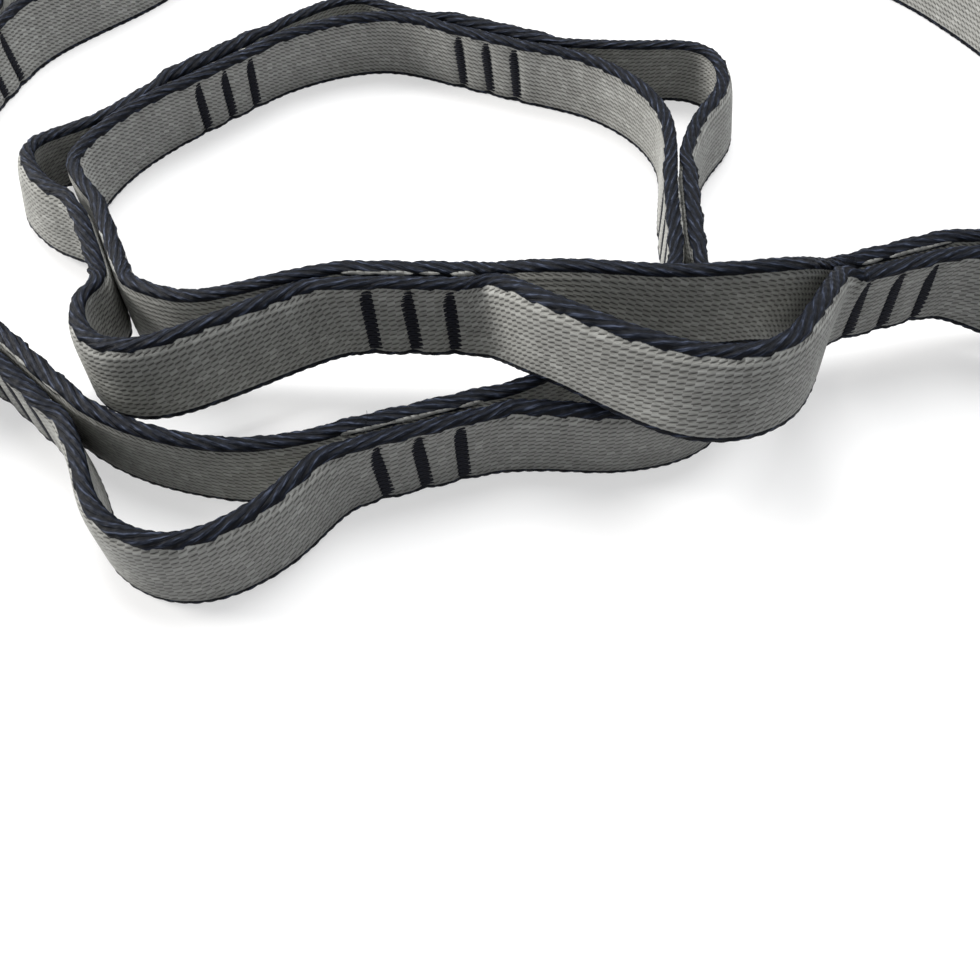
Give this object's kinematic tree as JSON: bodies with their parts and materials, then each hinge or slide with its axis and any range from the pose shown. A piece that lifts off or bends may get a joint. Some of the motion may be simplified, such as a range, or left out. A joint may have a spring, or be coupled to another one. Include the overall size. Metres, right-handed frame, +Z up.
{
  "type": "climbing daisy chain",
  "caption": "Climbing daisy chain: a long grey nylon sling bar-tacked into a row of clip-in pockets, with an open loop at either end, lying on edge in a loose spiral.",
  "frame": {"origin": "middle of the spiral in plan, on the surface that the webbing stands on", "axes": "+Z up, across the webbing's width; +X to the picture's right; +Y away from the picture's camera"},
  "size_m": [0.3648, 0.3294, 0.0391],
  "materials": {
    "webbing": "mid-grey woven nylon webbing with black selvages",
    "thread": "matt black bonded nylon thread"
  },
  "bodies": {
    "middle_chain": {"pocket_04_load_ply": "webbing", "pocket_04_slack_ply": "webbing", "pocket_05_load_ply": "webbing", "pocket_05_slack_ply": "webbing", "pocket_06_load_ply": "webbing", "pocket_06_slack_ply": "webbing", "pocket_07_load_ply": "webbing", "pocket_07_slack_ply": "webbing", "pocket_08_load_ply": "webbing", "pocket_08_slack_ply": "webbing", "pocket_09_load_ply": "webbing", "pocket_09_slack_ply": "webbing", "pocket_10_load_ply": "webbing", "pocket_10_slack_ply": "webbing", "bar_tacks_04": "thread", "bar_tacks_05": "thread", "bar_tacks_06": "thread", "bar_tacks_07": "thread", "bar_tacks_08": "thread", "bar_tacks_09": "thread", "bar_tacks_10": "thread", "bar_tacks_11": "thread"},
    "start_link_3": {"pocket_03_load_ply": "webbing", "pocket_03_slack_ply": "webbing", "bar_tacks_03": "thread"},
    "start_link_2": {"pocket_02_load_ply": "webbing", "pocket_02_slack_ply": "webbing", "bar_tacks_02": "thread"},
    "start_link_1": {"pocket_01_load_ply": "webbing", "pocket_01_slack_ply": "webbing", "bar_tacks_01": "thread", "splice_overlap": "webbing"},
    "girth_end": {"girth_loop": "webbing"},
    "end_link_11": {"pocket_11_load_ply": "webbing", "pocket_11_slack_ply": "webbing", "bar_tacks_12": "thread"},
    "end_link_12": {"pocket_12_load_ply": "webbing", "pocket_12_slack_ply": "webbing", "bar_tacks_13": "thread"},
    "end_link_13": {"pocket_13_load_ply": "webbing", "pocket_13_slack_ply": "webbing", "bar_tacks_14": "thread"},
    "clip_end": {"clip_loop": "webbing"}
  },
  "joints": [
    {"name": "swing_station_04", "type": "hinge", "parent": "middle_chain", "child": "start_link_3", "pos_m": [-0.10675, -0.11214, 0.009], "axis": [0, 0, 1], "range_deg": [-5, 30]},
    {"name": "swing_station_03", "type": "hinge", "parent": "start_link_3", "child": "start_link_2", "pos_m": [-0.17156, -0.06889, 0.009], "axis": [0, 0, 1], "range_deg": [-5, 30]},
    {"name": "swing_station_02", "type": "hinge", "parent": "start_link_2", "child": "start_link_1", "pos_m": [-0.14194, 0.00715, 0.009], "axis": [0, 0, 1], "range_deg": [-5, 30]},
    {"name": "swing_station_01", "type": "hinge", "parent": "start_link_1", "child": "girth_end", "pos_m": [-0.09638, 0.07872, 0.009], "axis": [0, 0, 1], "range_deg": [-20, 30]},
    {"name": "swing_station_11", "type": "hinge", "parent": "middle_chain", "child": "end_link_11", "pos_m": [0.08745, -0.09684, 0.01904], "axis": [0, 0, -1], "range_deg": [-5, 30]},
    {"name": "swing_station_12", "type": "hinge", "parent": "end_link_11", "child": "end_link_12", "pos_m": [0.1589, -0.06771, 0.009], "axis": [0, 0, -1], "range_deg": [-5, 30]},
    {"name": "swing_station_13", "type": "hinge", "parent": "end_link_12", "child": "end_link_13", "pos_m": [0.14894, 0.01003, 0.009], "axis": [0, 0, -1], "range_deg": [-5, 30]},
    {"name": "swing_station_14", "type": "hinge", "parent": "end_link_13", "child": "clip_end", "pos_m": [0.10368, 0.0775, 0.009], "axis": [0, 0, -1], "range_deg": [-20, 30]}
  ]
}
